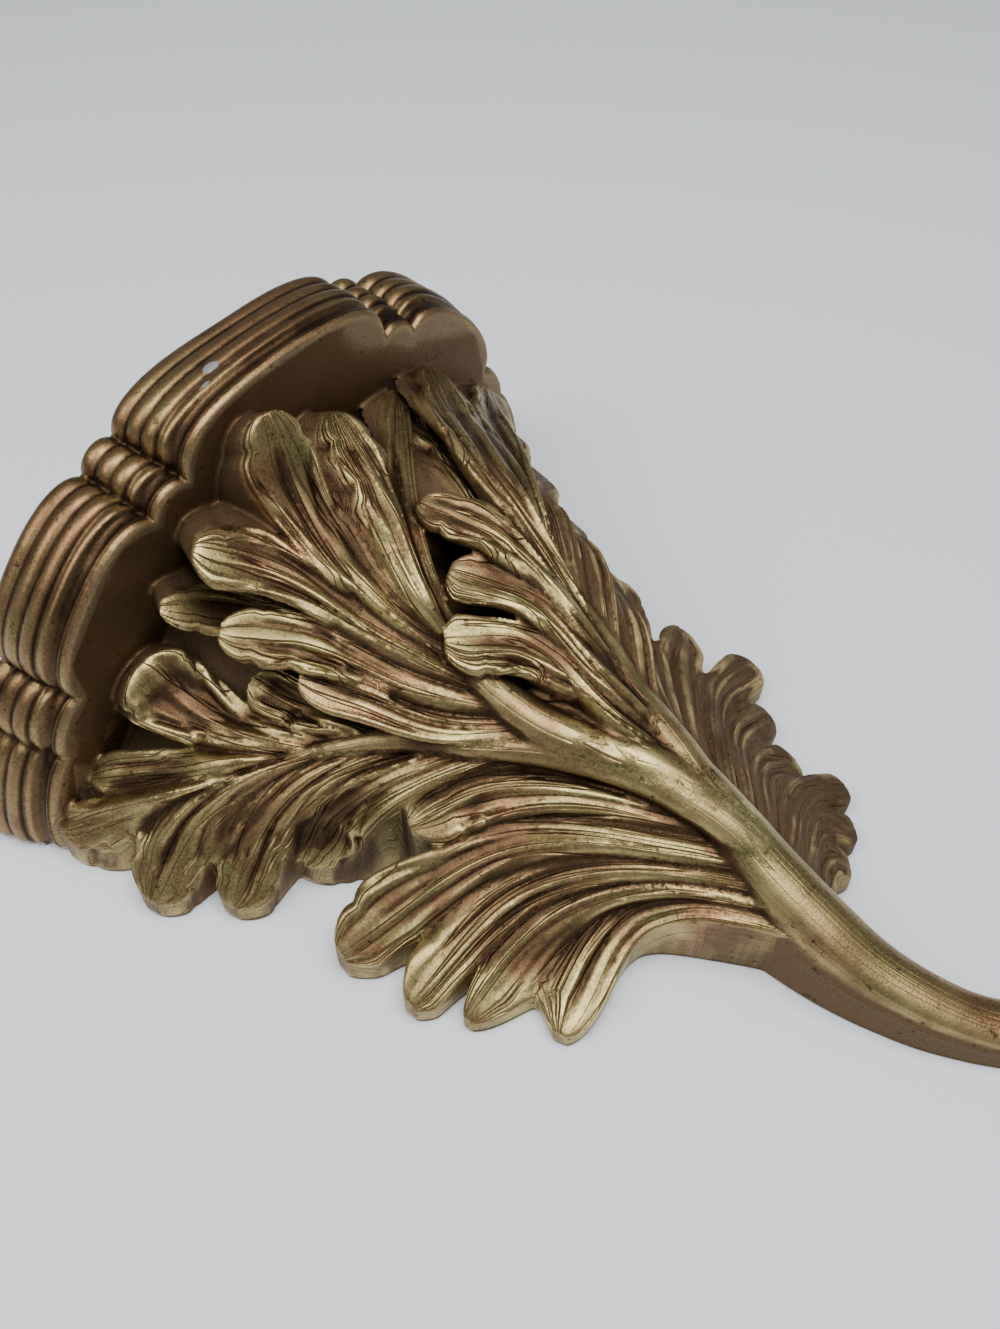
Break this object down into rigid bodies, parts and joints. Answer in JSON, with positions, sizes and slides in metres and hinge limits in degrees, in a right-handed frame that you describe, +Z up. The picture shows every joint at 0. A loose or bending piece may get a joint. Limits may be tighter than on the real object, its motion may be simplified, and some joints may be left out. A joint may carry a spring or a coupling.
{
  "type": "wall shelf corbel",
  "caption": "Wall shelf corbel: a scalloped, moulded shelf carried on deeply carved acanthus leaves that grow from a curling stem, cast in one piece with a flat back.",
  "frame": {"origin": "wall mount: on the flat back, in the middle of the shelf's width, level with the flat underside of the shelf", "axes": "+Z up as it hangs on the wall, +Y into the wall, so the shelf stands out towards -Y, +X to the right seen from the front"},
  "size_m": [0.2734, 0.1249, 0.3276],
  "materials": {
    "antique_gold": "satin antique gold with a dark umber patina in the recesses and a coppery undertone"
  },
  "bodies": {
    "root": {"corbel": "antique_gold"}
  },
  "joints": []
}
